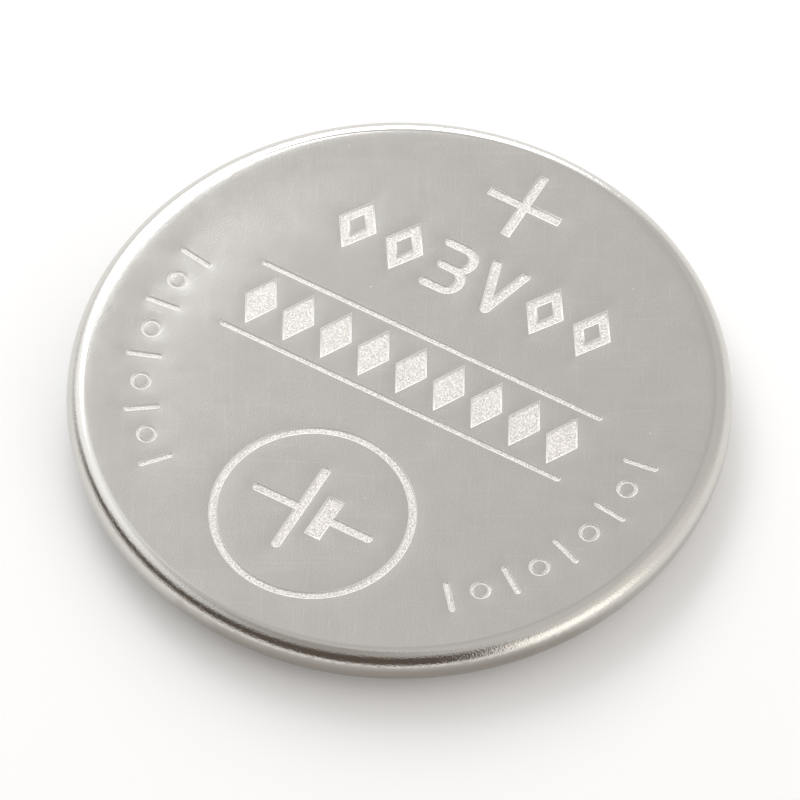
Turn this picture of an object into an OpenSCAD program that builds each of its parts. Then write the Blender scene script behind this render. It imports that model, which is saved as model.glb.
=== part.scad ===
// Lithium coin cell, 20 mm across and 1.6 mm high, lying on its negative cap.
// A steel can is the positive terminal and faces up. Its wall is curled in over a
// plastic seal, which holds the negative cap and keeps the two terminals apart.
// Inside lie the lithium disc, the separator and the cathode pellet in its ring.
// Z is the cell's axis, and z = 0 is the negative terminal's face.

/* [Cell] */
// Outer diameter of the cell
cell_d = 20; // [19.6:0.1:24.5]
// Height from one terminal's face to the other's
cell_h = 1.6; // [1.56:0.02:3.2]

/* [Can] */
// Thickness of the can's sheet
can_t = 0.2; // [0.15:0.01:0.21]
// Outer radius of the can's corner at the positive face
can_corner_r = 0.55; // [0.42:0.01:0.6]
// Outer radius of the curl that closes the can
curl_r = 0.75; // [0.74:0.01:0.8]
// How far in from its lowest point the curl reaches
curl_reach = 0.26; // [0.06:0.01:0.34]
// Height of the curl's lowest point over the negative terminal
curl_rise = 0.2; // [0.12:0.01:0.24]

/* [Seal] */
// Thickness of the seal between the can and the cap
seal_t = 0.28; // [0.24:0.01:0.29]
// Thickness of the seal's foot, under the edge of the cap's skirt
seal_foot_t = 0.2; // [0.12:0.01:0.26]
// How far the foot runs in past the skirt
seal_foot_past = 0.3; // [0.1:0.05:0.6]
// How far the seal's face lies inside the curl's lowest point
seal_sunk = 0.1; // [0.02:0.01:0.2]
// Gap between round faces that bear on each other
seat_gap = 0.01; // [0.005:0.001:0.02]

/* [Cap] */
// Thickness of the cap's sheet
cap_t = 0.2; // [0.15:0.01:0.2]
// Distance from the can's side in to the cap's side
cap_side = 1.45; // [1.35:0.01:1.8]
// Outer radius of the negative terminal's edge
cap_edge_r = 0.35; // [0.25:0.01:0.4]
// Radius of the bend between the cap's side and its shoulder
cap_bend_r = 0.08; // [0.04:0.01:0.12]

/* [Stack] */
// Thickness of the lithium disc
lithium_t = 0.3; // [0.2:0.01:0.35]
// Space between the lithium disc's edge and the cap's side
lithium_space = 0.7; // [0.5:0.05:1.5]
// Thickness of the separator
separator_t = 0.12; // [0.05:0.01:0.16]
// Space between the separator's edge and the cap's side
separator_space = 0.1; // [0.05:0.01:0.3]
// Space between the cathode ring and the cap's side
ring_space = 0.3; // [0.15:0.05:0.6]
// Thickness of the cathode ring's sheet
ring_t = 0.1; // [0.06:0.01:0.14]
// Width of the cathode ring's flange, under the pellet
ring_flange = 0.8; // [0.4:0.1:2]
// Height of the cathode ring
ring_h = 0.5; // [0.3:0.05:0.6]

/* [Stamped marks] */
// Depth of the marks stamped in the positive face
mark_depth = 0.04; // [0.02:0.01:0.08]
// Line width of the large marks
line_w = 0.27; // [0.2:0.01:0.3]
// Line width of the small marks
fine_w = 0.16; // [0.1:0.01:0.2]
// Length of the plus sign's arms, end to end
plus_size = 2.41; // [1.8:0.1:2.8]
// Space between the plus sign and the face's edge
plus_edge = 0.62; // [0.4:0.05:0.9]
// Height of the row with the voltage
row_h = 1.88; // [1.5:0.05:2.1]
// Space between the plus sign and that row
row_space = 0.91; // [0.5:0.05:1.2]
// Distance between the middles of that row's marks
row_pitch = 1.62; // [1.5:0.02:1.8]
// Width of that row's letter and lozenges
row_mark_w = 1.26; // [1:0.02:1.34]
// Height of the wide band of lozenges, rules and all
band_h = 2.7; // [2.2:0.1:2.9]
// Width of that band
band_w = 11.7; // [9:0.1:12.2]
// Space between that band and the row over it
band_space = 1.57; // [1.2:0.05:1.8]
// Number of lozenges in that band
band_count = 9; // [5:1:10]
// Outer diameter of the round frame
frame_d = 6.22; // [5:0.1:6.4]
// Line width of the round frame
frame_w = 0.22; // [0.15:0.01:0.3]
// Space between the round frame and the face's edge
frame_edge = 1.09; // [0.8:0.05:1.3]
// Length of the cell symbol's long plate
plate_long = 3; // [2:0.1:3.4]
// Length of the cell symbol's short plate
plate_short = 1.5; // [1:0.1:1.8]
// Distance between the middles of the two plates
plate_space = 0.8; // [0.7:0.05:1]
// Length of each of the cell symbol's leads
lead_l = 1.5; // [1:0.1:1.7]
// Width of the cell symbol's short plate
plate_w = 0.5; // [0.35:0.01:0.55]
// Height of the scales at the edge
scale_h = 1.07; // [0.8:0.05:1.2]
// Space between the scales and the face's edge
scale_edge = 1.15; // [0.9:0.05:1.3]
// Number of marks in each scale
scale_count = 9; // [5:2:9]
// Angle between the marks of a scale
scale_step = 7.2; // [6.6:0.1:7.4]
// Angle from the middle of each scale to the face's lowest point
scale_turn = 69.5; // [66:0.5:72]

/* [Hidden] */
$fn = 96;
edge_fn = 48;         // facets of small round line ends
wedge_step = 45;      // largest angle between two corners of a wedge
over = 1;             // how far a cutting shape runs past what it cuts

// Can
cell_r = cell_d / 2;
can_floor_z = cell_h - can_t;             // the inside of the positive face
face_r = cell_r - can_corner_r;           // the flat face's edge
corner_z = cell_h - can_corner_r;
curl_c = [cell_r - curl_r, curl_rise + curl_r];    // centre of the curl
curl_tuck = asin(curl_reach / curl_r);    // the curl's turn past its lowest point

// Seal, a gap inside the can
seal_out_r = cell_r - can_t - seat_gap;
seal_in_r = seal_out_r - seal_t;
seal_curl_r = curl_r - can_t - seat_gap;
seal_corner_r = can_corner_r - can_t - seat_gap;
foot_z = can_floor_z - seal_foot_t;

// Cap, a gap inside the seal
skirt_r = seal_in_r - seat_gap;
skirt_in_r = skirt_r - cap_t;
skirt_top_z = foot_z - seat_gap;
cap_corner_r = seal_curl_r - seal_t - seat_gap;
shoulder_z = curl_c[1] - cap_corner_r;             // the shoulder's outer face
cap_r = cell_r - cap_side;
cap_in_r = cap_r - cap_t;
bend_c = [cap_r + cap_bend_r, shoulder_z - cap_bend_r];    // centre of the bend

// Stack, from the cap up
separator_z = cap_t + lithium_t;
pellet_z = separator_z + separator_t;
ring_r = cap_in_r - ring_space;
ring_z = can_floor_z - ring_h;
pellet_r = ring_r - ring_t - seat_gap;

// Marks on the positive face
plus_y = face_r - plus_edge - plus_size / 2;
row_y = plus_y - plus_size / 2 - row_space - row_h / 2;
band_y = row_y - row_h / 2 - band_space - band_h / 2;
frame_y = frame_edge + frame_d / 2 - face_r;
scale_r = face_r - scale_edge - scale_h / 2;
band_pitch = band_w / band_count;
bowl_r = (row_h - line_w) / 4;             // each bowl of the figure three
row_drop = (row_h - line_w) / 2;           // the row's middle to its lines' ends

// Part of a disc, from one angle to a larger one
module pie(r, from, to) {
    steps = ceil((to - from) / wedge_step);
    reach = 2 * r;
    intersection() {
        circle(r);
        polygon([[0, 0],
                 for (i = [0:steps])
                     let (a = from + (to - from) * i / steps)
                         [reach * cos(a), reach * sin(a)]]);
    }
}

// Part of a ring, from one angle to a larger one
module arc_band(r_in, r_out, from, to) {
    difference() {
        pie(r_out, from, to);
        circle(r_in);
    }
}

// A rectangle given by two corners
module block(low, high) {
    translate(low) square(high - low);
}

module can_profile() {
    block([0, can_floor_z], [face_r, cell_h]);
    translate([face_r, corner_z])
        arc_band(can_corner_r - can_t, can_corner_r, 0, 90);
    block([cell_r - can_t, curl_c[1]], [cell_r, corner_z]);
    translate(curl_c)
        arc_band(curl_r - can_t, curl_r, -90 - curl_tuck, 0);
}

module seal_profile() {
    side_r = cap_r + seat_gap;
    shelf_z = shoulder_z - seat_gap;
    face_z = curl_rise + seal_sunk;
    lip_r = curl_c[0] - curl_reach - seat_gap;
    neck_z = curl_c[1] - seal_curl_r + seal_t / 2;
    // the wall, its corner and the foot, between the can and the cap's skirt
    difference() {
        union() {
            block([face_r, curl_c[1]], [seal_out_r, corner_z]);
            translate([face_r, corner_z]) pie(seal_corner_r, 0, 90);
            block([skirt_in_r - seal_foot_past, curl_c[1]], [face_r, can_floor_z]);
        }
        block([0, 0], [seal_in_r, foot_z]);
    }
    // the part in the curl
    translate(curl_c) arc_band(seal_curl_r - seal_t, seal_curl_r, -90, 0);
    intersection() {
        translate(curl_c) pie(seal_curl_r, -90 - curl_tuck, -90);
        block([0, 0], [curl_c[0], shelf_z]);
    }
    // the ring that shows, under the cap's shoulder
    polygon([[side_r, face_z], [lip_r, face_z], [lip_r, neck_z], [curl_c[0], neck_z],
             [curl_c[0], shelf_z], [bend_c[0], shelf_z], bend_c, [side_r, bend_c[1]]]);
    translate(bend_c) pie(cap_bend_r - seat_gap, 90, 180);
}

module cap_profile() {
    block([0, 0], [cap_r - cap_edge_r, cap_t]);
    translate([cap_r - cap_edge_r, cap_edge_r])
        arc_band(cap_edge_r - cap_t, cap_edge_r, -90, 0);
    block([cap_in_r, cap_edge_r], [cap_r, bend_c[1]]);
    translate(bend_c)
        arc_band(cap_bend_r, cap_bend_r + cap_t, 90, 180);
    block([bend_c[0], shoulder_z], [curl_c[0], shoulder_z + cap_t]);
    translate(curl_c)
        arc_band(cap_corner_r - cap_t, cap_corner_r, -90, 0);
    block([skirt_in_r, curl_c[1]], [skirt_r, skirt_top_z]);
}

// A line with round ends
module stroke(from, to, w) {
    run = to - from;
    translate(from) rotate(atan2(run[1], run[0])) {
        translate([0, -w / 2]) square([norm(run), w]);
        circle(d = w, $fn = edge_fn);
        translate([norm(run), 0]) circle(d = w, $fn = edge_fn);
    }
}

module lozenge(w, h) {
    polygon([[w / 2, 0], [0, h / 2], [-w / 2, 0], [0, -h / 2]]);
}

module lozenge_line(w, h, line) {
    inside = 1 - line * norm([w, h]) * 2 / (w * h);
    difference() {
        lozenge(w, h);
        lozenge(w * inside, h * inside);
    }
}

module plus_sign() {
    square([plus_size, line_w], center = true);
    square([line_w, plus_size], center = true);
}

module figure_three() {
    stub = row_mark_w - line_w - 2 * bowl_r;
    x = row_mark_w / 2 - line_w / 2 - bowl_r;
    for (side = [-1, 1]) translate([x, side * bowl_r]) {
        arc_band(bowl_r - line_w / 2, bowl_r + line_w / 2, -90, 90);
        stroke([-bowl_r - stub, side * bowl_r], [0, side * bowl_r], line_w);
    }
    stroke([x - bowl_r, 0], [x, 0], line_w);
}

module letter_v() {
    spread = (row_mark_w - line_w) / 2;
    for (side = [-1, 1])
        stroke([side * spread, row_drop], [0, -row_drop], line_w);
}

module voltage_row() {
    translate([-row_pitch / 2, 0]) figure_three();
    translate([row_pitch / 2, 0]) letter_v();
    for (i = [1, 2], side = [-1, 1])
        translate([side * (i + 0.5) * row_pitch, 0])
            lozenge_line(row_mark_w, row_h, line_w);
}

module lozenge_band() {
    for (i = [0:band_count - 1])
        translate([(i + 0.5) * band_pitch - band_w / 2, 0])
            lozenge(band_pitch - line_w, band_h - 2 * fine_w - 2 * line_w);
    for (side = [-1, 1])
        translate([0, side * (band_h - fine_w) / 2])
            stroke([fine_w / 2 - band_w / 2, 0], [band_w / 2 - fine_w / 2, 0], fine_w);
}

// The circuit sign of a cell: a long plate, a short thick one and their leads
module cell_symbol() {
    for (side = [-1, 1])
        stroke([side * plate_space / 2, 0], [side * (plate_space / 2 + lead_l), 0], line_w);
    translate([-plate_space / 2, 0])
        stroke([0, -plate_long / 2], [0, plate_long / 2], line_w);
    translate([plate_space / 2, 0])
        square([plate_w, plate_short], center = true);
}

module framed_symbol() {
    difference() {
        circle(d = frame_d);
        circle(d = frame_d - 2 * frame_w);
    }
    cell_symbol();
}

// Bars and rings by turns, along the face's edge
module edge_scale(middle) {
    bar = (scale_h - fine_w) / 2;
    for (i = [0:scale_count - 1])
        rotate(middle + (i - (scale_count - 1) / 2) * scale_step)
            translate([scale_r, 0])
                if (i % 2 == 0)
                    stroke([-bar, 0], [bar, 0], fine_w);
                else
                    difference() {
                        circle(d = scale_h / 2 + fine_w, $fn = edge_fn);
                        circle(d = scale_h / 2 - fine_w, $fn = edge_fn);
                    }
}

module mark(at) {
    translate([at[0], at[1], cell_h - mark_depth])
        linear_extrude(mark_depth + over) children();
}

module positive_can() {
    color("silver") difference() {
        rotate_extrude() can_profile();
        mark([0, plus_y]) plus_sign();
        mark([0, row_y]) voltage_row();
        mark([0, band_y]) lozenge_band();
        mark([0, frame_y]) framed_symbol();
        for (side = [-1, 1])
            mark([0, 0]) edge_scale(-90 + side * scale_turn);
    }
}

module negative_cap() {
    color("lightgray") rotate_extrude() cap_profile();
}

module seal() {
    color("whitesmoke") rotate_extrude() seal_profile();
}

module lithium_disc() {
    color("gainsboro") translate([0, 0, cap_t])
        cylinder(r = cap_in_r - lithium_space, h = lithium_t);
}

module separator() {
    color("white") translate([0, 0, separator_z])
        cylinder(r = cap_in_r - separator_space, h = separator_t);
}

module cathode_pellet() {
    color("dimgray") rotate_extrude() {
        block([0, pellet_z], [pellet_r, can_floor_z - ring_t]);
        // the pellet fills the ring's middle, down to the can
        block([0, pellet_z], [ring_r - ring_flange - seat_gap, can_floor_z]);
    }
}

module cathode_ring() {
    color("darkgray") rotate_extrude() {
        block([ring_r - ring_flange, can_floor_z - ring_t], [ring_r, can_floor_z]);
        block([ring_r - ring_t, ring_z], [ring_r, can_floor_z]);
    }
}

positive_can();
negative_cap();
seal();
lithium_disc();
separator();
cathode_pellet();
cathode_ring();
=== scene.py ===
"""A lithium coin cell on a white studio floor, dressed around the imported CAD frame.

The can, the cap and the seal are drawn again with finer rounds than the CAD mesh has,
and the can's face gets its stamped marks with sloped walls. Lengths are in millimetres,
as in the part's source, and turn into metres where a mesh or a node needs them.
"""

import math
from dataclasses import dataclass
from typing import Callable

import bpy
import numpy as np
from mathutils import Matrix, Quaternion, Vector
from mathutils.geometry import delaunay_2d_cdt


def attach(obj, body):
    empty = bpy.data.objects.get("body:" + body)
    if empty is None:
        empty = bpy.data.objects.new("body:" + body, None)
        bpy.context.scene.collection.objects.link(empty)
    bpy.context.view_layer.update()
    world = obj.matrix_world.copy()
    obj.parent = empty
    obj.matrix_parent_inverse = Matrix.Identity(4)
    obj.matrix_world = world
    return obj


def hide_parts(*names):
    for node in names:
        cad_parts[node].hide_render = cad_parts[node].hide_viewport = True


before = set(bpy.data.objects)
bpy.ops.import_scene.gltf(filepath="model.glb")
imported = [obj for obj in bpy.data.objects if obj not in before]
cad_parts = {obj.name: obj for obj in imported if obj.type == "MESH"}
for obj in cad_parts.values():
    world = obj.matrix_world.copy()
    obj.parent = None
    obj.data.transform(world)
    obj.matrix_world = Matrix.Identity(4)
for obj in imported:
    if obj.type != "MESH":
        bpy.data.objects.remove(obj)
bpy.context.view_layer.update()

MM = 0.001

# Can, as in the part's source
CELL_R = 10.0
CELL_H = 1.6
SHEET = 0.2
CORNER_R = 0.55
CURL_R = 0.75
CURL_REACH = 0.26
CURL_RISE = 0.2
FACE_R = CELL_R - CORNER_R
CURL_C = (CELL_R - CURL_R, CURL_RISE + CURL_R)
CURL_TUCK = math.degrees(math.asin(CURL_REACH / CURL_R))
LIP_BEVEL = 0.02          # at the curl's end
LIP_TURN = 1.5            # degrees of the curl that the bevel takes

# Seal
SEAT_GAP = 0.01
SEAL_T = 0.28
FOOT_T = 0.2
FOOT_PAST = 0.3
SEAL_SUNK = 0.1
SEAL_EDGE_R = 0.04
SEAL_CURL_R = CURL_R - SHEET - SEAT_GAP
SEAL_IN_R = CELL_R - SHEET - SEAT_GAP - SEAL_T

# Cap
CAP_R = CELL_R - 1.45
CAP_EDGE_R = 0.35
CAP_BEND_R = 0.08
SKIRT_BEVEL = 0.03
SKIRT_R = SEAL_IN_R - SEAT_GAP
CAP_CORNER_R = SEAL_CURL_R - SEAL_T - SEAT_GAP
SHOULDER_Z = CURL_C[1] - CAP_CORNER_R
BEND_C = (CAP_R + CAP_BEND_R, SHOULDER_Z - CAP_BEND_R)

# Stamped marks: LINE_W is the common line width, and FINE_W that of rules and scales
MARK_DEPTH = 0.04
LINE_W = 0.27
FINE_W = 0.16
PLUS_SIZE = 2.41
PLUS_EDGE = 0.62
ROW_H = 1.88
ROW_SPACE = 0.91
ROW_PITCH = 1.62
ROW_MARK_W = 1.26
ROW_LOZENGES = (-2.5, -1.5, 1.5, 2.5)    # their places in the row, in pitches
BAND_H = 2.7
BAND_W = 11.7
BAND_SPACE = 1.57
BAND_COUNT = 9
FRAME_D = 6.22
FRAME_W = 0.22
FRAME_EDGE = 1.09
PLATE_LONG = 3.0
PLATE_SHORT = 1.5
PLATE_SPACE = 0.8
PLATE_W = 0.5
LEAD_L = 1.5
SCALE_H = 1.07
SCALE_EDGE = 1.15
SCALE_COUNT = 9
SCALE_STEP = 7.2
SCALE_TURN = 69.5         # degrees from the face's foot to the middle of each scale
PLUS_Y = FACE_R - PLUS_EDGE - PLUS_SIZE / 2
ROW_Y = PLUS_Y - PLUS_SIZE / 2 - ROW_SPACE - ROW_H / 2
BAND_Y = ROW_Y - ROW_H / 2 - BAND_SPACE - BAND_H / 2
FRAME_Y = FRAME_EDGE + FRAME_D / 2 - FACE_R
SCALE_R = FACE_R - SCALE_EDGE - SCALE_H / 2
BOWL_R = (ROW_H - LINE_W) / 4

# The drawn face: its slope at the edge and a shallow trough, each strongest on one side
# (degrees from +X), and the metal drawn in at the marks
EDGE_SLOPE = ((0.0, 0.0), (9.15, 0.0), (9.35, 0.01), (9.45, 0.045))
EDGE_SIDE = 120.0
EDGE_STEPS = 2001         # along a radius, to sum the slope
TROUGH_R = (5.4, 8.1, 9.45)              # where it starts, is deepest and ends
TROUGH_DEPTH = 0.006
TROUGH_SIDE = 162.0
WALL_LEVELS = (0.02, 0.008, -0.005, -0.018, -0.03)    # distances from a mark's outline
DRAW_DEPTH = 0.0018
DRAW_REACH = 0.25

# Meshing
AROUND = 384              # points round the cell
ARC_STEP = 4.0            # degrees
ROUND_POINTS = 40         # round each small circle
RING_POINTS = 60          # round a ring, to a millimetre of its radius
FINE_GRID = 0.16
COARSE_GRID = 0.45
FINE_START = 0.05         # how far from a mark the fine grid starts
FINE_REACH = 0.6          # and how far it goes
GRID_INSET = 0.4          # the bare edge of both grids, which rings fill
RING_INSETS = (0.03, 0.06, 0.1, 0.16, 0.24, 0.34)
MERGE_REACH = 1e-5        # points this close are one
LEVEL_SLACK = 1e-3
PLAIN, MARK_WALL, MARK_FLOOR, SIDE = range(4)    # regions of the can, and its materials

# Camera, fitted to the photograph
CAMERA_TURN = 29.8
CAMERA_ELEVATION = 55.275
CAMERA_DISTANCE = 1.0
CAMERA_ROLL = -0.18
LENS = 1498.12
SHIFT = (0.53 / 800, 2.42 / 800)         # pixels over the picture's width
CLIP = (0.1, 10.0)        # metres

# Steel
STEEL = (0.645, 0.626, 0.592)
SATIN_STEEL = (0.575, 0.557, 0.527)
MARK_WALL_STEEL = (0.84, 0.818, 0.797)
MARK_FLOOR_STEEL = (0.59, 0.562, 0.533)
CLOUD_SCALE = 0.9         # to a millimetre, as the other scales
GRAIN_SCALE = 17.0
FROST_SCALE = 20.0
ROUGH_SPREAD = 0.15       # share by which clouds and grain change the roughness
SPECK_SCALE = 1.6
SPECKLESS = 0.75          # share of the pattern's cells without a speck
SPECK_SIZE = (0.05, 0.02)                # where a speck starts and is full
SPECK_COLOUR = (0.9, 0.89, 0.87, 1)
SPECK_SHARE = 0.7
STREAK_TURNS = (61.0, -29.0)             # degrees
STREAK_STRETCH = (9.0, 0.5, 1.0)
STREAK_RANGE = (0.58, 0.74)
STREAK_COLOUR = (0.8, 0.785, 0.75, 1)
RIM_GRAIN_R = (FACE_R + 0.03, 9.8)       # where the rim's grain starts and is full
RIM_GRAIN_LEAST = 0.05
RIM_COLOUR_R = (FACE_R, FACE_R + 0.15)   # where the face's colour turns into the rim's
# Painted shade low on the rim's wall, warm grey and patchy: mostly on the front side, standing
# in for the shaded floor that the metal mirrors there, and a little all round as dull wear
PAINTED_SHADE_SIDE = -63.0                       # degrees from +X
PAINTED_SHADE_RANGE = (0.62, 0.93)               # of the cosine from that side
SHADE_AND_STAIN_PATCHES = (0.8, 0.08)              # their scale, and what they add or take
SHADE_AND_STAIN_TOP = 1.30
SHADE_AND_STAIN_RAGGED = (5.0, 0.03)               # its edge's scale and reach
SHADE_AND_STAIN_FADE = 0.1
SHADE_AND_STAIN_SHARE = (0.1, 0.8)                 # all round, and more on that side
SHADE_AND_STAIN_COLOUR = (0.40, 0.37, 0.335, 1)

# Plastic
SEAL_COLOURS = ((0.70, 0.70, 0.67, 1), (0.80, 0.80, 0.77, 1))
SEAL_CLOUD_SCALE = 1.5
SEAL_GRAIN_SCALE = 18.0
SEAL_GRAIN_DEPTH = 0.001
SEAL_ROUGH = (0.32, 0.46)
SEAL_IOR = 1.49
SEAL_SCATTER = 0.2
SEAL_SCATTER_SHARE = 0.3

# Floor
FLOOR_RINGS = (8.4, 9.3, 10.5, 14.0, 40.0, 400.0, 4000.0)
FLOOR_POINTS = 96
FLOOR_WHITE = 0.95
HIDDEN_GLOW = 0.3         # of the floor's inmost ring, which lights the underside
FLOOR_LIFT = 0.12         # added to the paper as the camera and the metal see it

# Studio by direction: azimuth 0 lies behind the cell and 90 on its right
BOX_CORNERS = ((-6.3, 53.0), (18, 12), (-34, 24), (-40, 50))
BOX_DISTANCE = 0.14       # metres
BOX_LIGHT = 5.0
BOX_COLOUR = (1.0, 0.97)  # value and warmth, as grey() takes them

# The room's paint: colours as above, and places in degrees. A pair is where something
# starts and is full, and three numbers are a window's two ends and its soft width.
ROOM_FRONT = (0.43, 1.12)
ROOM_BEHIND = (0.715, 1.03)
ROOM_AZIMUTH = 50
ROOM_FADE = (165.0, 65.0)
GLOW_COLOUR = (0.9, 1.08)
GLOW_AZIMUTH = 100
GLOW_WIDTH = (-25, 30, 30)
GLOW_HEIGHT = (-10, 58, 16)
HORIZON_FRONT = (0.62, 1.1)
HORIZON_BEHIND = (1.05, 1.02)
HORIZON_FADE = (16.0, 4.0)
HORIZON_SHARE = 0.8
WALL_FAR = (0.4, 1.06)
WALL_NEAR = (1.4, 0.99)
WALL_FADE = (-150.0, -35.0)
WALL_SIDE = (38, 28)      # its right edge at the horizon
WALL_LEAN = 0.64
WALL_FOOT = (-10, 2)      # as it stands right behind the cell, like its top
WALL_FOOT_RISE = 0.4
WALL_HEIGHT = (-30, 59, 12)
WALL_TOP_RISE = 0.075
WALL_RISE_END = -60.0
WALL_DULL = (32.0, 14.0)
WALL_DULL_SHARE = 0.22
LAMP_COLOUR = (1.6, 1.08)
LAMP_AZIMUTH = 132
LAMP_WIDTH = (-22, 22, 14)
LAMP_HEIGHT = (-30, 34, 12)
DARK_COLOUR = (0.11, 1.45)
DARK_AZIMUTH = -165
DARK_WIDTH = (-44, 100, 18)
DARK_TOP = (60.0, 48.0)
DARK_TOP_FALL = 0.24
DARK_FOOT = (9.0, 18.0)   # on the left; on the right it is lower by DARK_FOOT_FALL
DARK_FOOT_FALL = 10.0
DARK_FOOT_SIDE = (50.0, 0.0)


def turned(x, y, degrees):
    """The point or points turned about the origin."""
    c, s = math.cos(math.radians(degrees)), math.sin(math.radians(degrees))
    return c * x - s * y, s * x + c * y


# The stamped marks

@dataclass
class Mark:
    """A flat shape: its distance (negative inside) and its outlines, grown by an offset."""
    distance: Callable
    outlines: Callable


def moved(mark, x=0.0, y=0.0, turn=0.0):
    def distance(px, py):
        return mark.distance(*turned(px - x, py - y, -turn))

    def outlines(offset):
        loops = []
        for loop in mark.outlines(offset):
            lx, ly = turned(loop[:, 0], loop[:, 1], turn)
            loops.append(np.column_stack([lx + x, ly + y]))
        return loops
    return Mark(distance, outlines)


def arc(cx, cy, r, start, end, count):
    """Points on an arc, both ends included."""
    a = np.radians(np.linspace(start, end, count))
    return np.column_stack([cx + r * np.cos(a), cy + r * np.sin(a)])


def whole_circle(r, count=ROUND_POINTS):
    return arc(0, 0, r, 0, 360, count + 1)[:-1]


def rectangle(w, h):
    def distance(px, py):
        qx, qy = np.abs(px) - w / 2, np.abs(py) - h / 2
        outside = np.hypot(np.maximum(qx, 0), np.maximum(qy, 0))
        return outside + np.minimum(np.maximum(qx, qy), 0)

    def outlines(offset):
        x, y = w / 2 + offset, h / 2 + offset
        return [np.array([[x, -y], [x, y], [-x, y], [-x, -y]])]
    return Mark(distance, outlines)


def stroke(start, end, width):
    """A line with round ends."""
    run = math.dist(start, end)
    turn = math.degrees(math.atan2(end[1] - start[1], end[0] - start[0]))

    def distance(px, py):
        return np.hypot(px - np.clip(px, 0, run), py) - width / 2

    def outlines(offset):
        r, half = width / 2 + offset, ROUND_POINTS // 2 + 1
        return [np.vstack([arc(run, 0, r, -90, 90, half), arc(0, 0, r, 90, 270, half)])]
    return moved(Mark(distance, outlines), *start, turn)


def ring(r, width):
    count = max(ROUND_POINTS, int(r * RING_POINTS))

    def distance(px, py):
        return np.abs(np.hypot(px, py) - r) - width / 2

    def outlines(offset):
        return [whole_circle(r + width / 2 + offset, count),
                whole_circle(r - width / 2 - offset, count)]
    return Mark(distance, outlines)


def half_ring(r, width):
    """The right half of a ring; strokes cover its two ends."""
    def distance(px, py):
        ends = np.hypot(px, np.abs(py) - r)
        return np.where(px > 0, np.abs(np.hypot(px, py) - r), ends) - width / 2

    def outlines(offset):
        w = width / 2 + offset
        return [np.vstack([arc(0, 0, r + w, -90, 90, ROUND_POINTS),
                           arc(0, 0, r - w, 90, -90, ROUND_POINTS)])]
    return Mark(distance, outlines)


def lozenge(w, h, line=None):
    """A lozenge, or only its outline with that line width."""
    rise = w * h / 2 / math.hypot(w, h)          # from the middle to each side

    def distance(px, py):
        outer = (np.abs(px) * h + np.abs(py) * w) / math.hypot(w, h) - rise
        return outer if line is None else np.maximum(outer, -outer - line)

    def loop(offset):
        k = (rise + offset) / rise / 2
        return np.array([[w * k, 0], [0, h * k], [-w * k, 0], [0, -h * k]])

    def outlines(offset):
        return [loop(offset)] if line is None else [loop(offset), loop(-line - offset)]
    return Mark(distance, outlines)


def plus_sign():
    return [rectangle(PLUS_SIZE, LINE_W), rectangle(LINE_W, PLUS_SIZE)]


def figure_three():
    stub = ROW_MARK_W - LINE_W - 2 * BOWL_R
    x = ROW_MARK_W / 2 - LINE_W / 2 - BOWL_R
    bowls = [moved(half_ring(BOWL_R, LINE_W), x, side * BOWL_R) for side in (-1, 1)]
    lines = [stroke((x - BOWL_R - stub, side * 2 * BOWL_R), (x, side * 2 * BOWL_R), LINE_W)
             for side in (-1, 1)]
    return bowls + lines + [stroke((x - BOWL_R, 0), (x, 0), LINE_W)]


def letter_v():
    spread, drop = (ROW_MARK_W - LINE_W) / 2, (ROW_H - LINE_W) / 2
    return [stroke((side * spread, drop), (0, -drop), LINE_W) for side in (-1, 1)]


def voltage_row():
    marks = [moved(m, -ROW_PITCH / 2) for m in figure_three()]
    marks += [moved(m, ROW_PITCH / 2) for m in letter_v()]
    for place in ROW_LOZENGES:
        marks.append(moved(lozenge(ROW_MARK_W, ROW_H, LINE_W), place * ROW_PITCH))
    return marks


def lozenge_band():
    pitch, reach = BAND_W / BAND_COUNT, (BAND_W - FINE_W) / 2
    solid = lozenge(pitch - LINE_W, BAND_H - 2 * FINE_W - 2 * LINE_W)
    marks = [moved(solid, (i + 0.5) * pitch - BAND_W / 2) for i in range(BAND_COUNT)]
    for side in (-1, 1):
        y = side * (BAND_H - FINE_W) / 2
        marks.append(stroke((-reach, y), (reach, y), FINE_W))
    return marks


def framed_symbol():
    """The circuit sign of a cell in a round frame."""
    near, half = PLATE_SPACE / 2, PLATE_LONG / 2
    marks = [stroke((side * near, 0), (side * (near + LEAD_L), 0), LINE_W)
             for side in (-1, 1)]
    marks.append(stroke((-near, -half), (-near, half), LINE_W))
    marks.append(moved(rectangle(PLATE_W, PLATE_SHORT), near))
    marks.append(ring((FRAME_D - FRAME_W) / 2, FRAME_W))
    return marks


def edge_scale(middle):
    """Bars and small rings by turns, along the face's edge."""
    half = (SCALE_H - FINE_W) / 2
    shapes = (stroke((-half, 0), (half, 0), FINE_W), ring(SCALE_H / 4, FINE_W / 2))
    marks = []
    for i in range(SCALE_COUNT):
        turn = middle + (i - (SCALE_COUNT - 1) / 2) * SCALE_STEP
        marks.append(moved(moved(shapes[i % 2], SCALE_R), turn=turn))
    return marks


def all_marks():
    marks = [moved(m, 0, PLUS_Y) for m in plus_sign()]
    marks += [moved(m, 0, ROW_Y) for m in voltage_row()]
    marks += [moved(m, 0, BAND_Y) for m in lozenge_band()]
    marks += [moved(m, 0, FRAME_Y) for m in framed_symbol()]
    for side in (-1, 1):
        marks += edge_scale(-90 + side * SCALE_TURN)
    return marks


# The meshes

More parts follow.
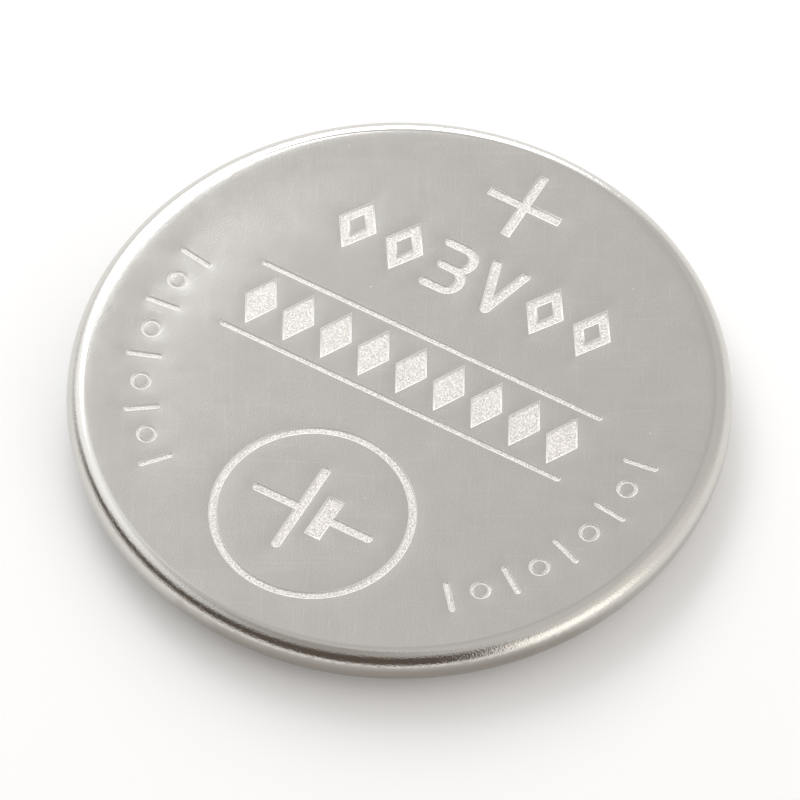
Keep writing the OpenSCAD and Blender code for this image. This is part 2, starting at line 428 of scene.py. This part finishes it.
def make_piece(name, verts, faces, materials, face_materials=None, sharp_edges=()):
    """A smooth-shaded mesh from millimetre coordinates, riding on the cell's body."""
    mesh = bpy.data.meshes.new(name)
    mesh.from_pydata([tuple(v) for v in np.asarray(verts) * MM], [], faces)
    mesh.validate()
    for material in materials:
        mesh.materials.append(material)
    mesh.polygons.foreach_set("use_smooth", np.ones(len(mesh.polygons), bool))
    if face_materials is not None:
        mesh.polygons.foreach_set("material_index", np.asarray(face_materials, np.int32))
    if len(sharp_edges):
        wanted = {tuple(sorted(e)) for e in sharp_edges}
        for edge in mesh.edges:
            edge.use_edge_sharp = tuple(sorted(edge.vertices)) in wanted
    mesh.update()
    piece = bpy.data.objects.new(name, mesh)
    bpy.context.scene.collection.objects.link(piece)
    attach(piece, "root")
    return piece


def profile_arc(centre, r, start, end):
    """Section points on an arc, both ends included."""
    return arc(*centre, r, start, end, max(3, math.ceil(abs(end - start) / ARC_STEP) + 1))


def lathe(profile, closed=False):
    """Turns a section of (r, z) points round the Z axis, with its material on the
    right of the way along it. A point on the axis becomes one vertex."""
    a = np.arange(AROUND) * 2 * np.pi / AROUND
    verts, rows = [], []
    for r, z in profile:
        if r < MERGE_REACH:
            rows.append([len(verts)] * AROUND)
            verts.append((0.0, 0.0, z))
        else:
            rows.append(list(range(len(verts), len(verts) + AROUND)))
            verts += [(r * math.cos(t), r * math.sin(t), z) for t in a]
    faces = []
    pairs = list(zip(rows, rows[1:] + rows[:1])) if closed else list(zip(rows, rows[1:]))
    for upper, lower in pairs:
        for j in range(AROUND):
            k = (j + 1) % AROUND
            loop = (upper[j], lower[j], lower[k], upper[k])
            faces.append(tuple(dict.fromkeys(loop)))
    return verts, faces


def without_repeats(profile):
    kept = [profile[0]]
    for point in profile[1:]:
        if math.dist(point, kept[-1]) > MERGE_REACH:
            kept.append(point)
    return np.array(kept)


def can_section():
    """From the face's edge over the outside, round the curl's end and back inside."""
    corner_c = (FACE_R, CELL_H - CORNER_R)
    tuck = -90 - CURL_TUCK
    return without_repeats(np.vstack([
        profile_arc(corner_c, CORNER_R, 90, 0),
        profile_arc(CURL_C, CURL_R, 0, tuck + LIP_TURN),
        arc(*CURL_C, CURL_R - LIP_BEVEL, tuck, tuck, 1),
        arc(*CURL_C, CURL_R - SHEET + LIP_BEVEL, tuck, tuck, 1),
        profile_arc(CURL_C, CURL_R - SHEET, tuck + LIP_TURN, 0),
        profile_arc(corner_c, CORNER_R - SHEET, 0, 90),
        [(0, CELL_H - SHEET)],
    ]))


def cap_section():
    """From the middle of the inside, out to the skirt and back under to the middle."""
    edge_c = (CAP_R - CAP_EDGE_R, CAP_EDGE_R)
    top_z = CELL_H - SHEET - FOOT_T - SEAT_GAP
    return without_repeats(np.vstack([
        [(0, SHEET)],
        profile_arc(edge_c, CAP_EDGE_R - SHEET, -90, 0),
        profile_arc(BEND_C, CAP_BEND_R + SHEET, 180, 90),
        profile_arc(CURL_C, CAP_CORNER_R - SHEET, -90, 0),
        [(SKIRT_R - SHEET, top_z - SKIRT_BEVEL), (SKIRT_R - SHEET + SKIRT_BEVEL, top_z)],
        [(SKIRT_R - SKIRT_BEVEL, top_z), (SKIRT_R, top_z - SKIRT_BEVEL)],
        profile_arc(CURL_C, CAP_CORNER_R, 0, -90),
        profile_arc(BEND_C, CAP_BEND_R, 90, 180),
        profile_arc(edge_c, CAP_EDGE_R, 0, -90),
        [(0, 0)],
    ]))


def seal_section():
    """From the foot under the can's face, round the outside to the seal's bare face
    beside the cap, and back along the cap."""
    floor_z = CELL_H - SHEET
    corner_c = (FACE_R, CELL_H - CORNER_R)
    side_r, lip_r = CAP_R + SEAT_GAP, CURL_C[0] - CURL_REACH - SEAT_GAP
    face_z, neck_z = CURL_RISE + SEAL_SUNK, CURL_C[1] - SEAL_CURL_R + SEAL_T / 2
    neck_r = CURL_C[0] - (CURL_C[1] - neck_z) * math.tan(math.radians(CURL_TUCK))
    foot_r, foot_z = SKIRT_R - SHEET - FOOT_PAST, floor_z - FOOT_T
    return without_repeats(np.vstack([
        [(foot_r, floor_z), (FACE_R, floor_z)],
        profile_arc(corner_c, CORNER_R - SHEET - SEAT_GAP, 90, 0),
        profile_arc(CURL_C, SEAL_CURL_R, 0, -90 - CURL_TUCK),
        [(neck_r, neck_z), (lip_r, neck_z)],
        profile_arc((lip_r - SEAL_EDGE_R, face_z + SEAL_EDGE_R), SEAL_EDGE_R, 0, -90),
        profile_arc((side_r + SEAL_EDGE_R, face_z + SEAL_EDGE_R), SEAL_EDGE_R, -90, -180),
        profile_arc(BEND_C, CAP_BEND_R - SEAT_GAP, 180, 90),
        profile_arc(CURL_C, SEAL_CURL_R - SEAL_T, -90, 0),
        [(SEAL_IN_R, foot_z), (foot_r, foot_z)],
    ]))


def face_drop(x, y):
    """How far the face has fallen at a point, below its middle."""
    def side(degrees):
        return (1 + np.cos(np.arctan2(y, x) - math.radians(degrees))) / 2

    r = np.hypot(x, y)
    steps = np.linspace(0, FACE_R, EDGE_STEPS)
    slope = np.interp(steps, *zip(*EDGE_SLOPE))
    edge = np.concatenate([[0], np.cumsum((slope[1:] + slope[:-1]) / 2) * steps[1]])
    start, bottom, end = TROUGH_R
    t = np.where(r < bottom, (r - start) / (bottom - start), (end - r) / (end - bottom))
    t = np.clip(t, 0, 1)
    trough = TROUGH_DEPTH * side(TROUGH_SIDE) ** 2 * t * t * (3 - 2 * t)
    return np.interp(r, steps, edge) * side(EDGE_SIDE) ** 2 + trough


def face_height(x, y, distance):
    """Height of the can's face, from a point's distance to the nearest mark."""
    top, foot = WALL_LEVELS[0], WALL_LEVELS[-1]
    drawn = DRAW_DEPTH * np.exp(-np.maximum(distance - top, 0) / DRAW_REACH)
    fade = np.clip((FACE_R - np.hypot(x, y)) / DRAW_REACH, 0, 1)
    t = np.clip((top - distance) / (top - foot), 0, 1)
    wall = t * t * (3 - 2 * t)
    return CELL_H - face_drop(x, y) - drawn * fade - (MARK_DEPTH - DRAW_DEPTH) * wall


def grid(step):
    """Points of a triangular grid over the face."""
    rows = []
    for i, y in enumerate(np.arange(-FACE_R, FACE_R, step * math.sqrt(3) / 2)):
        x = np.arange(-FACE_R, FACE_R, step) + (i % 2) * step / 2
        rows.append(np.column_stack([x, np.full_like(x, y)]))
    return np.vstack(rows)


def make_face():
    """The can's flat face: its points, triangles and each triangle's region. The first
    AROUND points are its edge."""
    marks = all_marks()

    def distance(x, y):
        return np.minimum.reduce([m.distance(x, y) for m in marks])

    points, edges = [whole_circle(FACE_R, AROUND)], []
    count = AROUND
    for offset in WALL_LEVELS:
        for mark in marks:
            for loop in mark.outlines(offset):
                n = len(loop)
                points.append(loop)
                edges += [(count + i, count + (i + 1) % n) for i in range(n)]
                count += n
    grids = ((FINE_GRID, FINE_START, FINE_REACH), (COARSE_GRID, FINE_REACH, CELL_R))
    for step, nearest, farthest in grids:
        p = grid(step)
        d, r = distance(p[:, 0], p[:, 1]), np.hypot(p[:, 0], p[:, 1])
        points.append(p[(d > nearest) & (d <= farthest) & (r < FACE_R - GRID_INSET)])
    for inset in RING_INSETS:
        points.append(whole_circle(FACE_R - inset, AROUND))
    flat = [Vector(p) for p in np.vstack(points)]
    out = delaunay_2d_cdt(flat, edges, [], 0, MERGE_REACH, True)
    place, corners, sources = np.array(out[0]), np.array(out[2]), out[3]
    d = distance(place[:, 0], place[:, 1])
    verts = np.column_stack([place, face_height(place[:, 0], place[:, 1], d)])

    # the edge's points come first again, in their own order
    order = np.full(len(place), -1)
    for i, given in enumerate(sources):
        for source in given:
            if source < AROUND:
                order[i] = source
    others = np.flatnonzero(order < 0)
    order[others] = AROUND + np.arange(len(others))
    sorted_verts = np.empty_like(verts)
    sorted_verts[order] = verts
    triangles = order[corners]
    middle = sorted_verts[triangles].mean(axis=1)
    d = distance(middle[:, 0], middle[:, 1])
    plain = d > WALL_LEVELS[0] - LEVEL_SLACK
    sunk = d < WALL_LEVELS[-1] + LEVEL_SLACK
    region = np.where(plain, PLAIN, np.where(sunk, MARK_FLOOR, MARK_WALL))
    return sorted_verts, triangles, region


def region_borders(triangles, region):
    """Edges between triangles of different regions."""
    seen, borders = {}, []
    for triangle, kind in zip(triangles.tolist(), region.tolist()):
        for a, b in zip(triangle, triangle[1:] + triangle[:1]):
            key = (min(a, b), max(a, b))
            if seen.setdefault(key, kind) != kind:
                borders.append(key)
    return borders


def make_can(materials):
    """The turned section and the face, joined at the face's edge."""
    face_verts, triangles, region = make_face()
    side_verts, side_faces = lathe(can_section())
    side_verts[:AROUND] = face_verts[:AROUND].tolist()
    shift = len(side_verts) - AROUND
    triangles = np.where(triangles < AROUND, triangles, triangles + shift)
    verts = side_verts + face_verts[AROUND:].tolist()
    faces = side_faces + [tuple(t) for t in triangles.tolist()]
    kinds = np.concatenate([np.full(len(side_faces), SIDE), region])
    return make_piece("can_steel_shell", verts, faces, materials, kinds,
                      region_borders(triangles, region))


# Shader nodes and materials

def add(tree, kind, inputs=None, **settings):
    """A new node; an input's value is a number, a colour or another node's socket."""
    node = tree.nodes.new(kind)
    for key, value in settings.items():
        setattr(node, key, value)
    for key, value in (inputs or {}).items():
        if isinstance(value, bpy.types.NodeSocket):
            tree.links.new(value, node.inputs[key])
        else:
            node.inputs[key].default_value = value
    return node


def calc(tree, operation, a, b=0.0, c=0.0):
    return add(tree, "ShaderNodeMath", {0: a, 1: b, 2: c}, operation=operation).outputs[0]


def soft_step(tree, value, start, end):
    """0 before start and 1 after end; start may be the larger of the two."""
    inputs = {"Value": value, "From Min": start, "From Max": end}
    return add(tree, "ShaderNodeMapRange", inputs, interpolation_type="SMOOTHSTEP").outputs[0]


def mix_colour(tree, factor, a, b, blend="MIX"):
    node = add(tree, "ShaderNodeMix", data_type="RGBA", blend_type=blend)
    for socket, value in zip((node.inputs[0], node.inputs[6], node.inputs[7]), (factor, a, b)):
        if isinstance(value, bpy.types.NodeSocket):
            tree.links.new(value, socket)
        else:
            socket.default_value = value
    return node.outputs[2]


def grey(value, warmth=1.0):
    """A near-grey colour; warmth is its red over its blue."""
    k = math.sqrt(warmth)
    return (value * k, value, value / k, 1.0)


def new_material(name):
    material = bpy.data.materials.new(name)
    material.use_nodes = True
    tree = material.node_tree
    tree.nodes.clear()
    shader = add(tree, "ShaderNodeBsdfPrincipled")
    output = add(tree, "ShaderNodeOutputMaterial")
    tree.links.new(shader.outputs[0], output.inputs[0])
    return material, tree, shader


def millimetres(tree, stretch=(1, 1, 1), turn=0.0):
    """The object's coordinates in millimetres, turned about Z and then stretched."""
    place = add(tree, "ShaderNodeTexCoord").outputs["Object"]
    spin = add(tree, "ShaderNodeVectorRotate",
               {"Vector": place, "Angle": math.radians(turn)}, rotation_type="Z_AXIS")
    scale = tuple(s / MM for s in stretch)
    return add(tree, "ShaderNodeVectorMath", {0: spin.outputs[0], 1: scale},
               operation="MULTIPLY").outputs[0]


def noise(tree, place, scale, detail=2.0, roughness=0.5):
    inputs = {"Vector": place, "Scale": scale, "Detail": detail, "Roughness": roughness}
    return add(tree, "ShaderNodeTexNoise", inputs).outputs["Fac"]


def varied(tree, value, low, high):
    """A noise value from about 0.3 to 0.7 spread over a range."""
    inputs = {"Value": value, "From Min": 0.3, "From Max": 0.7, "To Min": low, "To Max": high}
    return add(tree, "ShaderNodeMapRange", inputs).outputs[0]


def bump(tree, height, depth, share=1.0):
    """Relief from a height of 0 to 1; depth is in millimetres."""
    inputs = {"Height": height, "Distance": depth * MM, "Strength": share}
    return add(tree, "ShaderNodeBump", inputs).outputs[0]


def shades(colour, share):
    """A colour made darker and lighter by a share."""
    return ([c * (1 - share) for c in colour] + [1.0],
            [min(1.0, c * (1 + share)) for c in colour] + [1.0])


def steel(name, colour, rough, mottle, grain_depth, specks=False, streaks=0.0, rim=False):
    """Sheet steel: cloudy satin, fine grain, faint lines and a few bright specks.
    The rim's is darkened low down, mostly with painted shade on its front side and a little
    dull wear all round, and its coarse grain fades out towards the face."""
    material, tree, shader = new_material(name)
    place = millimetres(tree)
    cloud = noise(tree, place, CLOUD_SCALE, 4.0, 0.6)
    fine = noise(tree, place, GRAIN_SCALE, 2.0, 0.6)
    base = mix_colour(tree, varied(tree, cloud, 0.0, 1.0), *shades(colour, mottle))
    if specks:
        base = speckled(tree, place, base)
    if streaks:
        for turn in STREAK_TURNS:
            lines = noise(tree, millimetres(tree, STREAK_STRETCH, turn), 1.0, 2.0, 0.4)
            faint = calc(tree, "MULTIPLY", soft_step(tree, lines, *STREAK_RANGE), streaks)
            base = mix_colour(tree, faint, base, STREAK_COLOUR)
    share = 1.0
    if rim:
        x, y, _ = add(tree, "ShaderNodeSeparateXYZ", {0: place}).outputs
        square = calc(tree, "MULTIPLY_ADD", x, x, calc(tree, "MULTIPLY", y, y))
        radius = calc(tree, "SQRT", square)
        grown = soft_step(tree, radius, *RIM_GRAIN_R)
        share = calc(tree, "MULTIPLY_ADD", grown, 1 - RIM_GRAIN_LEAST, RIM_GRAIN_LEAST)
        outside = soft_step(tree, radius, *RIM_COLOUR_R)
        base = mix_colour(tree, outside, (*SATIN_STEEL, 1), base)
        # painted shade low on the wall, mostly on the front side, with a little dull wear all
        # round
        base = mix_colour(tree, stain_and_painted_shade(tree, place), base, SHADE_AND_STAIN_COLOUR)
    tree.links.new(base, shader.inputs["Base Color"])
    shader.inputs["Metallic"].default_value = 1.0
    spread = calc(tree, "ADD", varied(tree, cloud, -0.5, 0.5), varied(tree, fine, -0.5, 0.5))
    roughness = calc(tree, "MULTIPLY_ADD", spread, rough * ROUGH_SPREAD, rough)
    tree.links.new(roughness, shader.inputs["Roughness"])
    tree.links.new(bump(tree, fine, grain_depth, share), shader.inputs["Normal"])
    return material


def speckled(tree, place, base):
    """The colour with a bright speck in some of the cells of a Voronoi pattern."""
    cells = add(tree, "ShaderNodeTexVoronoi", {"Vector": place, "Scale": SPECK_SCALE})
    near = soft_step(tree, cells.outputs["Distance"], *SPECK_SIZE)
    pick = add(tree, "ShaderNodeSeparateColor", {0: cells.outputs["Color"]}).outputs[0]
    chosen = calc(tree, "MULTIPLY", near, calc(tree, "GREATER_THAN", pick, SPECKLESS))
    return mix_colour(tree, calc(tree, "MULTIPLY", chosen, SPECK_SHARE), base, SPECK_COLOUR)


def stain_and_painted_shade(tree, place):
    """Where the wall is darkened, low down and patchy: mostly painted shade on the front side,
    standing in for the shaded floor that the metal mirrors there, and a little dull wear all
    round.
    """
    x, y, z = add(tree, "ShaderNodeSeparateXYZ", {0: place}).outputs
    side = math.radians(PAINTED_SHADE_SIDE)
    facing = calc(tree, "MULTIPLY_ADD", x, math.cos(side) / CELL_R,
                  calc(tree, "MULTIPLY", y, math.sin(side) / CELL_R))
    scale, reach = SHADE_AND_STAIN_PATCHES
    patches = varied(tree, noise(tree, place, scale, 4.0, 0.6), -reach, reach)
    painted_shade_side = soft_step(tree, calc(tree, "ADD", facing, patches), *PAINTED_SHADE_RANGE)
    scale, reach = SHADE_AND_STAIN_RAGGED
    ragged = varied(tree, noise(tree, place, scale, 3.0, 0.6), -reach, reach)
    low = soft_step(tree, calc(tree, "ADD", z, ragged), SHADE_AND_STAIN_TOP, SHADE_AND_STAIN_TOP - SHADE_AND_STAIN_FADE)
    least, more = SHADE_AND_STAIN_SHARE
    return calc(tree, "MULTIPLY", low, calc(tree, "MULTIPLY_ADD", painted_shade_side, more, least))


def frosted_steel(name, colour, rough, metallic, contrast, grain_depth):
    """Steel struck by a sand-blasted tool: pale, rough and grainy."""
    material, tree, shader = new_material(name)
    place = millimetres(tree)
    grain = noise(tree, place, FROST_SCALE, 2.0, 0.6)
    base = mix_colour(tree, varied(tree, grain, 0.0, 1.0), *shades(colour, contrast))
    tree.links.new(base, shader.inputs["Base Color"])
    shader.inputs["Metallic"].default_value = metallic
    tree.links.new(varied(tree, grain, rough * 1.15, rough * 0.85), shader.inputs["Roughness"])
    tree.links.new(bump(tree, grain, grain_depth), shader.inputs["Normal"])
    return material


def seal_plastic():
    """Milky polypropylene with a fine moulded grain."""
    material, tree, shader = new_material("seal_plastic")
    place = millimetres(tree)
    cloud = noise(tree, place, SEAL_CLOUD_SCALE, 3.0)
    fine = noise(tree, place, SEAL_GRAIN_SCALE, 2.0)
    base = mix_colour(tree, varied(tree, cloud, 0.0, 1.0), *SEAL_COLOURS)
    tree.links.new(base, shader.inputs["Base Color"])
    shader.inputs["IOR"].default_value = SEAL_IOR
    shader.inputs["Subsurface Weight"].default_value = SEAL_SCATTER_SHARE
    shader.inputs["Subsurface Scale"].default_value = SEAL_SCATTER * MM
    tree.links.new(varied(tree, fine, *SEAL_ROUGH), shader.inputs["Roughness"])
    tree.links.new(bump(tree, fine, SEAL_GRAIN_DEPTH), shader.inputs["Normal"])
    return material


def grainy(name, dark, light, rough, metallic, scale, depth, stretch=(1, 1, 1)):
    """A matt or dull surface whose grain may run one way."""
    material, tree, shader = new_material(name)
    place = millimetres(tree, stretch)
    grain = noise(tree, place, scale, 4.0, 0.65)
    base = mix_colour(tree, varied(tree, grain, 0.0, 1.0), dark, light)
    tree.links.new(base, shader.inputs["Base Color"])
    shader.inputs["Metallic"].default_value = metallic
    tree.links.new(varied(tree, grain, rough * 0.9, rough * 1.1), shader.inputs["Roughness"])
    tree.links.new(bump(tree, grain, depth), shader.inputs["Normal"])
    return material


def dress(node, material):
    """Gives a CAD node its material."""
    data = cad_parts[node].data
    data.materials.clear()
    data.materials.append(material)


# The cell

face_steel = steel("face_steel", SATIN_STEEL, rough=0.085, mottle=0.02, grain_depth=0.0006,
                   specks=True, streaks=0.06)
rim_steel = steel("rim_steel", STEEL, rough=0.07, mottle=0.01, grain_depth=0.009, rim=True)
wall_steel = frosted_steel("mark_wall_steel", MARK_WALL_STEEL, rough=0.5, metallic=0.35,
                           contrast=0.05, grain_depth=0.002)
floor_steel = frosted_steel("mark_floor_steel", MARK_FLOOR_STEEL, rough=0.55, metallic=1.0,
                            contrast=0.28, grain_depth=0.006)
can = make_can([face_steel, wall_steel, floor_steel, rim_steel])
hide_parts("positive_can")

cap_steel = steel("cap_steel", STEEL, rough=0.24, mottle=0.02, grain_depth=0.0008,
                  specks=True, streaks=0.08)
cap_verts, cap_faces = lathe(cap_section())
cap = make_piece("cap_steel_shell", cap_verts, cap_faces, [cap_steel])
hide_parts("negative_cap")

seal_verts, seal_faces = lathe(seal_section(), closed=True)
seal = make_piece("seal_plastic_ring", seal_verts, seal_faces, [seal_plastic()])
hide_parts("seal")

dress("lithium_disc", grainy("lithium_metal", grey(0.42), grey(0.56), rough=0.4,
                             metallic=1.0, scale=3.0, depth=0.004, stretch=(0.3, 4, 1)))
dress("separator", grainy("separator_fibre", grey(0.72, 1.03), grey(0.84, 1.03), rough=0.9,
                          metallic=0.0, scale=6.0, depth=0.02))
dress("cathode_pellet", grainy("cathode_powder", grey(0.018), grey(0.045), rough=0.8,
                               metallic=0.0, scale=9.0, depth=0.01))
dress("cathode_ring", steel("ring_steel", STEEL, rough=0.25, mottle=0.02,
                            grain_depth=0.0008))


# The floor

def make_floor():
    """A round floor with a hole under the cell and a glowing ring hidden beneath it."""
    verts, faces = [], []
    for r in FLOOR_RINGS:
        verts += [(*p, 0.0) for p in whole_circle(r, FLOOR_POINTS) * MM]
    for i in range(len(FLOOR_RINGS) - 1):
        for j in range(FLOOR_POINTS):
            k = (j + 1) % FLOOR_POINTS
            a, b = i * FLOOR_POINTS, (i + 1) * FLOOR_POINTS
            faces.append((a + j, b + j, b + k, a + k))
    mesh = bpy.data.meshes.new("floor")
    mesh.from_pydata(verts, [], faces)
    mesh.materials.append(floor_paper("floor_paper"))
    mesh.materials.append(floor_paper("floor_paper_hidden", HIDDEN_GLOW))
    for polygon in mesh.polygons[:FLOOR_POINTS]:
        polygon.material_index = 1
    floor = bpy.data.objects.new("floor", mesh)
    bpy.context.scene.collection.objects.link(floor)


def floor_paper(name, glow=0.0):
    """White paper, seen through from below so that the cell's underside can be viewed."""
    material = bpy.data.materials.new(name)
    material.use_nodes = True
    tree = material.node_tree
    tree.nodes.clear()
    if glow:
        paper = add(tree, "ShaderNodeEmission", {"Strength": glow}).outputs[0]
    else:
        diffuse = add(tree, "ShaderNodeBsdfDiffuse", {"Color": grey(FLOOR_WHITE)}).outputs[0]
        ray = add(tree, "ShaderNodeLightPath").outputs
        seen = calc(tree, "MAXIMUM", ray["Is Camera Ray"], ray["Is Glossy Ray"])
        seen = calc(tree, "MAXIMUM", seen, ray["Is Transmission Ray"])
        strength = calc(tree, "MULTIPLY", seen, FLOOR_LIFT)
        lift = add(tree, "ShaderNodeEmission", {"Strength": strength}).outputs[0]
        paper = add(tree, "ShaderNodeAddShader", {0: diffuse, 1: lift}).outputs[0]
    clear = add(tree, "ShaderNodeBsdfTransparent").outputs[0]
    below = add(tree, "ShaderNodeNewGeometry").outputs["Backfacing"]
    both = add(tree, "ShaderNodeMixShader", {0: below, 1: paper, 2: clear})
    add(tree, "ShaderNodeOutputMaterial", {0: both.outputs[0]})
    return material


make_floor()


# The studio's light

def direction(azimuth, elevation):
    a, e = math.radians(azimuth - CAMERA_TURN), math.radians(elevation)
    return Vector((math.sin(a) * math.cos(e), math.cos(a) * math.cos(e), math.sin(e)))


def make_soft_box():
    """A flat panel of light, given by the directions of its corners from the cell."""
    corners = [direction(*corner) for corner in BOX_CORNERS]
    middle = sum(corners, Vector()).normalized()
    mesh = bpy.data.meshes.new("soft_box")
    mesh.from_pydata([c * BOX_DISTANCE / c.dot(middle) for c in corners], [], [(0, 1, 2, 3)])
    material = bpy.data.materials.new("soft_box_light")
    material.use_nodes = True
    tree = material.node_tree
    tree.nodes.clear()
    light = add(tree, "ShaderNodeEmission",
                {"Color": grey(*BOX_COLOUR), "Strength": BOX_LIGHT})
    add(tree, "ShaderNodeOutputMaterial", {0: light.outputs[0]})
    mesh.materials.append(material)
    box = bpy.data.objects.new("soft_box", mesh)
    box.visible_camera = False
    bpy.context.scene.collection.objects.link(box)


def make_world():
    """The room's walls, painted by azimuth and elevation in degrees."""
    world = bpy.data.worlds.new("studio")
    bpy.context.scene.world = world
    world.use_nodes = True
    tree = world.node_tree
    tree.nodes.clear()
    way = add(tree, "ShaderNodeTexCoord").outputs["Generated"]
    inputs = {"Vector": way, "Angle": math.radians(-CAMERA_TURN)}
    way = add(tree, "ShaderNodeVectorRotate", inputs, rotation_type="Z_AXIS").outputs[0]
    x, y, z = add(tree, "ShaderNodeSeparateXYZ", {0: way}).outputs
    azimuth = calc(tree, "DEGREES", calc(tree, "ARCTAN2", x, y))
    elevation = calc(tree, "DEGREES", calc(tree, "ARCSINE", z))

    def off(centre):
        """Signed azimuth from a centre, from -180 to 180."""
        return calc(tree, "WRAP", calc(tree, "SUBTRACT", azimuth, centre), 180.0, -180.0)

    def window(value, low, high, soft):
        """1 from low to high, fading over the soft width at each end."""
        rise = soft_step(tree, value, low - soft / 2, low + soft / 2)
        fall = soft_step(tree, value, high + soft / 2, high - soft / 2)
        return calc(tree, "MULTIPLY", rise, fall)

    def both(a, b):
        return calc(tree, "MULTIPLY", a, b)

    # walls and ceiling: lighter behind and on the right
    right = soft_step(tree, calc(tree, "ABSOLUTE", off(ROOM_AZIMUTH)), *ROOM_FADE)
    room = mix_colour(tree, right, grey(*ROOM_FRONT), grey(*ROOM_BEHIND))
    # glow on the right
    glow = both(window(off(GLOW_AZIMUTH), *GLOW_WIDTH), window(elevation, *GLOW_HEIGHT))
    room = mix_colour(tree, glow, room, grey(*GLOW_COLOUR))
    # pale horizon, brightest behind
    low = calc(tree, "MULTIPLY", soft_step(tree, elevation, *HORIZON_FADE), HORIZON_SHARE)
    horizon = mix_colour(tree, right, grey(*HORIZON_FRONT), grey(*HORIZON_BEHIND))
    room = mix_colour(tree, low, room, horizon)
    # pale wall behind on the left, round the soft box: its right edge leans, its foot and
    # its top rise towards the left, and it is duller low down
    lean = calc(tree, "MULTIPLY_ADD", elevation, WALL_LEAN, off(0))
    foot = calc(tree, "MULTIPLY_ADD", off(0), WALL_FOOT_RISE, elevation)
    left = calc(tree, "MAXIMUM", calc(tree, "MINIMUM", off(0), 0.0), WALL_RISE_END)
    top = calc(tree, "MULTIPLY_ADD", left, WALL_TOP_RISE, elevation)
    sides = both(soft_step(tree, lean, *WALL_SIDE), soft_step(tree, foot, *WALL_FOOT))
    wall = both(sides, window(top, *WALL_HEIGHT))
    near = soft_step(tree, off(0), *WALL_FADE)
    paint = mix_colour(tree, near, grey(*WALL_FAR), grey(*WALL_NEAR))
    dull = soft_step(tree, elevation, *WALL_DULL)
    dull = calc(tree, "MULTIPLY_ADD", dull, -WALL_DULL_SHARE, 1.0)
    room = mix_colour(tree, wall, room, mix_colour(tree, 1.0, paint, dull, "MULTIPLY"))
    # a lamp low on the right of the camera
    lamp = both(window(off(LAMP_AZIMUTH), *LAMP_WIDTH), window(elevation, *LAMP_HEIGHT))
    room = mix_colour(tree, lamp, room, grey(*LAMP_COLOUR))
    # the dark room round the camera: towards the left its top is lower and its foot higher
    turn = off(DARK_AZIMUTH)
    fall = calc(tree, "MAXIMUM", turn, 0.0)
    top = calc(tree, "MULTIPLY_ADD", fall, DARK_TOP_FALL, elevation)
    fall = soft_step(tree, turn, *DARK_FOOT_SIDE)
    foot = calc(tree, "MULTIPLY_ADD", fall, DARK_FOOT_FALL, elevation)
    height = both(soft_step(tree, top, *DARK_TOP), soft_step(tree, foot, *DARK_FOOT))
    dark = both(window(turn, *DARK_WIDTH), height)
    room = mix_colour(tree, dark, room, grey(*DARK_COLOUR))
    shader = add(tree, "ShaderNodeBackground", {"Color": room, "Strength": 1.0})
    add(tree, "ShaderNodeOutputWorld", {0: shader.outputs[0]})


make_soft_box()
make_world()


# The camera

def make_camera():
    data = bpy.data.cameras.new("camera")
    data.lens = LENS
    data.shift_x, data.shift_y = SHIFT
    data.clip_start, data.clip_end = CLIP
    camera = bpy.data.objects.new("camera", data)
    bpy.context.scene.collection.objects.link(camera)
    a, e = math.radians(CAMERA_TURN), math.radians(CAMERA_ELEVATION)
    back = Vector((math.sin(a) * math.cos(e), -math.cos(a) * math.cos(e), math.sin(e)))
    camera.location = Vector((0, 0, CELL_H / 2 * MM)) + back * CAMERA_DISTANCE
    camera.rotation_mode = "QUATERNION"
    roll = Quaternion((0, 0, 1), math.radians(CAMERA_ROLL))
    camera.rotation_quaternion = (-back).to_track_quat("-Z", "Y") @ roll
    bpy.context.scene.camera = camera


make_camera()

scene = bpy.context.scene
scene.view_settings.view_transform = "Standard"
